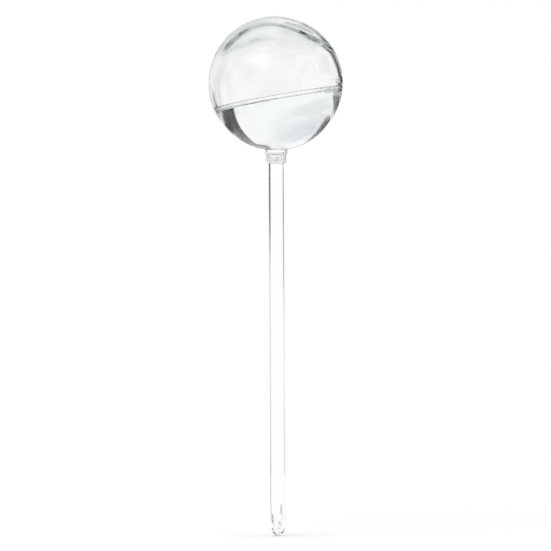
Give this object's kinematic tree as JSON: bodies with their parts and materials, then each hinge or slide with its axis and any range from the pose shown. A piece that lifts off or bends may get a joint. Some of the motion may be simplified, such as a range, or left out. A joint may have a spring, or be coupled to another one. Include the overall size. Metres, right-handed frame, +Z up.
{
  "type": "watering globe",
  "caption": "Clear ball of water on a long thin hollow stem with a rounded drip tip, which unscrews at its neck and slowly waters the soil that the stem is pushed into.",
  "frame": {"origin": "the lowest point of the drip tip, on the stem's axis", "axes": "+Z up along the stem to the globe, -Y to the front, the side with the drip hole, and +X to the right"},
  "size_m": [0.07, 0.07, 0.27],
  "materials": {
    "clear_glass": "polished",
    "clear_plastic": "polished",
    "silicone": "satin",
    "water": "polished"
  },
  "bodies": {
    "stem": {"stem_tube": "clear_plastic", "drip_tip": "clear_plastic", "stem_water": "water"},
    "seal": {"neck_seal": "silicone"},
    "globe": {"globe": "clear_glass", "neck_collar": "clear_plastic"},
    "water": {"globe_water": "water"}
  },
  "joints": [
    {"name": "globe_lift", "type": "slide", "parent": "stem", "child": "seal", "axis": [0, 0, 1], "range_m": [0, 0.004]},
    {"name": "globe_turn", "type": "hinge", "parent": "seal", "child": "globe", "pos_m": [0, 0, 0.1955], "axis": [0, 0, 1], "range_deg": [0, 960]},
    {"name": "water_level", "type": "hinge", "parent": "globe", "child": "water", "pos_m": [0, 0, 0.234], "axis": [0, 1, 0], "range_deg": [-20.3, 39.7]}
  ],
  "couplings": [
    {"joint": "globe_lift", "follows": "globe_turn", "m_per_rad": 0.00023873}
  ]
}
